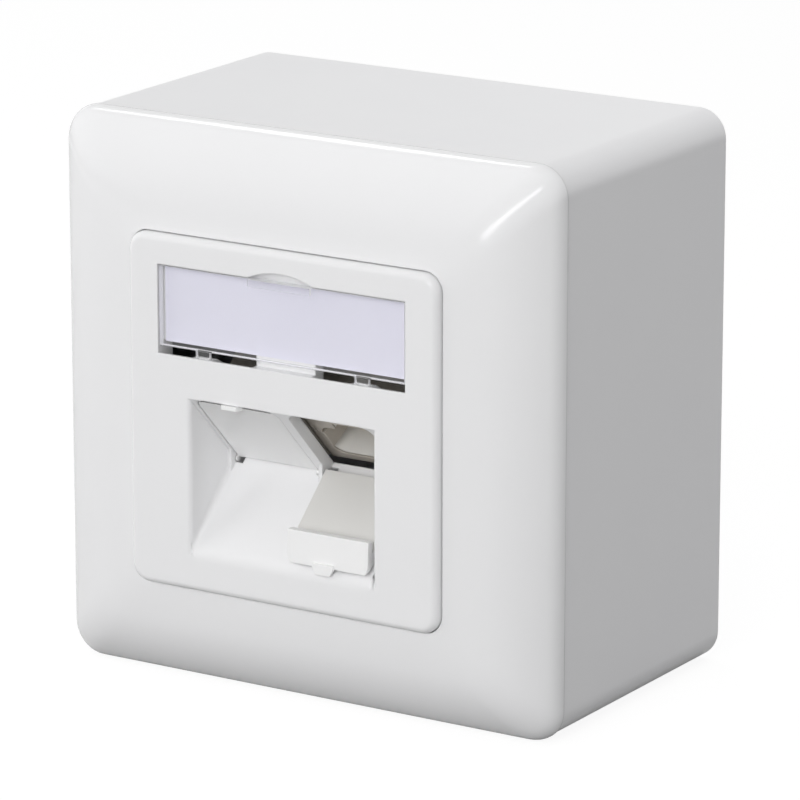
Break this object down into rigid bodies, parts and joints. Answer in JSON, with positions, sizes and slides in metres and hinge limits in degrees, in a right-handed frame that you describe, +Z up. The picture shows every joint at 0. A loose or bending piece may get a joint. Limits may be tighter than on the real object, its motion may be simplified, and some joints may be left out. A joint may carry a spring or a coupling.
{
  "type": "ethernet wall socket",
  "caption": "White surface-mounted data outlet: deep wall box, pillowed square frame, and a centre plate with a clear label window and hinged dust flaps over angled sockets.",
  "frame": {"origin": "middle of the back face, on the wall", "axes": "+Z up, +Y into the wall, so the front faces -Y; +X to the right seen from the front"},
  "size_m": [0.08, 0.0527, 0.08],
  "materials": {
    "box_plastic": "moulded pure white, glossy",
    "cover_plastic": "moulded pure white, glossy",
    "flap_plastic": "moulded white, satin gloss",
    "clear_window": "clear moulded polycarbonate",
    "label_paper": "plain pale lavender card",
    "insert_plastic": "moulded white nylon",
    "tinned_sheet": "tinned spring sheet, dull",
    "die_cast_zinc": "die-cast zinc, matt",
    "board_laminate": "glass-fibre laminate, green lacquer",
    "terminal_plastic": "moulded ivory plastic",
    "gold_contact": "gold-plated spring wire",
    "blade_bronze": "tinned bronze",
    "screw_steel": "zinc-plated steel"
  },
  "bodies": {
    "outlet": {"surface_box": "box_plastic", "cover_frame": "cover_plastic", "centre_plate": "cover_plastic", "label_card": "label_paper", "circuit_board": "board_laminate", "shield_cover": "tinned_sheet", "carrier": "die_cast_zinc", "device_screws": "screw_steel", "plate_screws": "screw_steel", "board_screws": "screw_steel", "left_jack_shield": "tinned_sheet", "left_jack_insert": "insert_plastic", "left_jack_contacts": "gold_contact", "left_terminal_block": "terminal_plastic", "left_terminal_blades": "blade_bronze", "right_jack_shield": "tinned_sheet", "right_jack_insert": "insert_plastic", "right_jack_contacts": "gold_contact", "right_terminal_block": "terminal_plastic", "right_terminal_blades": "blade_bronze"},
    "left_flap": {"left_dust_flap": "flap_plastic"},
    "right_flap": {"right_dust_flap": "flap_plastic"},
    "window": {"label_window": "clear_window"}
  },
  "joints": [
    {"name": "left_flap_hinge", "type": "hinge", "parent": "outlet", "child": "left_flap", "pos_m": [0, -0.04139, -0.00835], "axis": [1, 0, 0], "range_deg": [0, 87.5]},
    {"name": "right_flap_hinge", "type": "hinge", "parent": "outlet", "child": "right_flap", "pos_m": [0, -0.04139, -0.00835], "axis": [1, 0, 0], "range_deg": [-87.5, 0]},
    {"name": "label_window_tilt", "type": "hinge", "parent": "outlet", "child": "window", "pos_m": [0, -0.05161, 0.0083], "axis": [1, 0, 0], "range_deg": [0, 45]}
  ]
}
